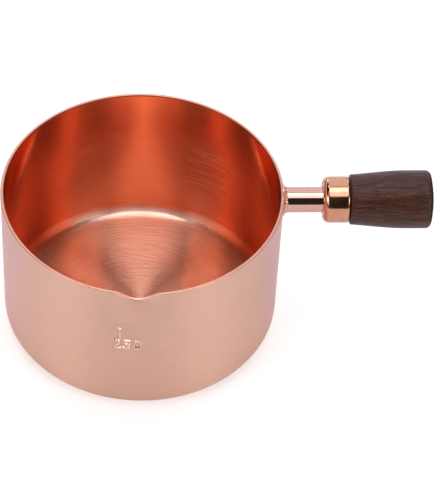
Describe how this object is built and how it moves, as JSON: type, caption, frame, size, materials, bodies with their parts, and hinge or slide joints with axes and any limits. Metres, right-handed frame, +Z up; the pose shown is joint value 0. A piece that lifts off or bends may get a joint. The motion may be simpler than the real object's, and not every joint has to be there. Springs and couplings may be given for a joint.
{
  "type": "measuring saucepan",
  "caption": "Small round copper-plated pan of one-cup volume with a pouring lip, welded neck, metal ferrule and turned wooden grip.",
  "frame": {"origin": "centre of the flat underside of the bowl's base", "axes": "+X from the bowl's axis towards the grip's end, +Z up along the bowl's axis, pouring lip 3.1 degrees past -Y, turned away from the handle"},
  "size_m": [0.1288, 0.086, 0.0551],
  "materials": {
    "copper_satin": "copper-plated steel sheet, fine concentric brushing, satin",
    "copper_polished": "copper-plated steel, polished bright",
    "walnut": "dark walnut, turned and oiled, satin",
    "brass": "plain machined brass",
    "zinc_steel": "zinc-plated steel rod"
  },
  "bodies": {
    "root": {"bowl": "copper_satin", "handle_neck": "copper_polished", "neck_weld": "copper_polished", "ferrule": "copper_polished", "wood_grip": "walnut", "neck_nut": "brass", "grip_insert": "brass", "clamp_stud": "zinc_steel"}
  },
  "joints": []
}
